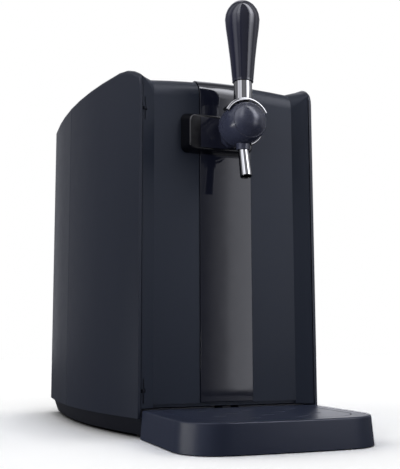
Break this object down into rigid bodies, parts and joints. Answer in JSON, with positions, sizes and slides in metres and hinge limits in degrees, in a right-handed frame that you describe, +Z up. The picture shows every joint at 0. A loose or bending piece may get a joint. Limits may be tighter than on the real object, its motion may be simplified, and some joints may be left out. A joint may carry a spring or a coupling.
{
  "type": "mini keg beer dispenser",
  "caption": "Cooled countertop dispenser for a small beer keg, with a hinged front door, lever tap, display and removable drip tray.",
  "frame": {"origin": "middle of the footprint's bounding box, on the table", "axes": "+Z up, -Y towards the tap and drip tray, +X to the right as seen from the front"},
  "size_m": [0.2618, 0.497, 0.446],
  "materials": {
    "matte_shell": "fine matte texture, dark blue grey",
    "rear_grey": "fine matte texture, lighter grey",
    "matte_door": "fine matte texture, dark blue grey",
    "tray_navy": "satin, dark navy",
    "gloss_dark": "high gloss",
    "grip_dark": "gloss, dark navy",
    "chrome_plate": "polished",
    "steel_zinc": "zinc plated",
    "steel_black": "black oxide",
    "aluminium_raw": "extruded, raw",
    "rubber_black": "moulded, matte",
    "liner_grey": "smooth, light grey",
    "foam_cream": "rigid closed-cell foam",
    "black_plastic": "moulded, satin black",
    "board_green": "solder mask",
    "hose_clear": "silicone, milky",
    "ceramic_white": "unglazed"
  },
  "bodies": {
    "machine": {"left_side_panel": "matte_shell", "right_side_panel": "matte_shell", "rear_cover": "rear_grey", "top_cover": "matte_shell", "base_pan": "matte_shell", "foot_front_left": "rubber_black", "foot_front_right": "rubber_black", "foot_rear_left": "rubber_black", "foot_rear_right": "rubber_black", "catch_plate": "steel_zinc", "hinge_bracket_lower": "steel_black", "hinge_bracket_upper": "steel_black", "cavity_bezel": "liner_grey", "keg_liner": "liner_grey", "insulation_foam": "foam_cream", "keg_cradle": "black_plastic", "cold_plate": "aluminium_raw", "thermoelectric_module": "ceramic_white", "heat_sink": "aluminium_raw", "fan_frame": "black_plastic", "service_bracket": "steel_zinc", "power_supply": "aluminium_raw", "control_board": "board_green", "air_pump": "black_plastic", "air_hose": "hose_clear", "coupler_housing": "black_plastic", "coupler_spring": "steel_zinc", "mains_inlet": "black_plastic", "switch_housing": "black_plastic"},
    "door": {"door_frame": "matte_door", "front_panel": "matte_door", "center_strip": "gloss_dark", "display_housing": "matte_door", "display_lens": "gloss_dark", "display_board": "board_green", "door_liner": "liner_grey", "door_gasket": "rubber_black", "door_magnet": "steel_zinc", "hinge_pin_lower": "steel_black", "hinge_pin_upper": "steel_black", "tap_body": "gloss_dark", "tap_cap": "gloss_dark", "tap_nut": "steel_zinc", "tap_pivot_pin": "steel_zinc", "spout_collar": "gloss_dark", "spout": "chrome_plate"},
    "lever": {"tap_lever": "chrome_plate", "tap_handle": "grip_dark"},
    "valve": {"valve_slider": "steel_zinc"},
    "fan": {"fan_rotor": "black_plastic"},
    "rocker": {"power_rocker": "black_plastic"},
    "coupler": {"coupler_head": "rubber_black"},
    "tray": {"drip_tray": "tray_navy"},
    "tray_cover": {"drip_tray_cover": "tray_navy"}
  },
  "joints": [
    {"name": "door_hinge", "type": "hinge", "parent": "machine", "child": "door", "pos_m": [-0.0926, -0.1002, 0.19], "axis": [0, 0, -1], "range_deg": [0, 110]},
    {"name": "tap_lever_hinge", "type": "hinge", "parent": "door", "child": "lever", "pos_m": [0, -0.1495, 0.3145], "axis": [1, 0, 0], "range_deg": [0, 40]},
    {"name": "valve_slide", "type": "slide", "parent": "door", "child": "valve", "axis": [0, 1, 0], "range_m": [0, 0.0072]},
    {"name": "fan_spin", "type": "hinge", "parent": "machine", "child": "fan", "pos_m": [0, 0.1615, 0.098], "axis": [0, 1, 0], "continuous": true},
    {"name": "rocker_hinge", "type": "hinge", "parent": "machine", "child": "rocker", "pos_m": [0, 0.2409, 0.084], "axis": [1, 0, 0], "range_deg": [0, 16]},
    {"name": "coupler_slide", "type": "slide", "parent": "machine", "child": "coupler", "axis": [0, 0, 1], "range_m": [0, 0.008], "stiffness_N_per_m": 400, "deforming": ["coupler_spring"]},
    {"name": "tray_slide", "type": "slide", "parent": "machine", "child": "tray", "axis": [0, -1, 0], "range_m": [0, 0.16]},
    {"name": "tray_cover_lift", "type": "slide", "parent": "tray", "child": "tray_cover", "axis": [0, 0, 1], "range_m": [0, 0.05]}
  ],
  "couplings": [
    {"joint": "valve_slide", "follows": "tap_lever_hinge", "m_per_rad": 0.01031}
  ]
}
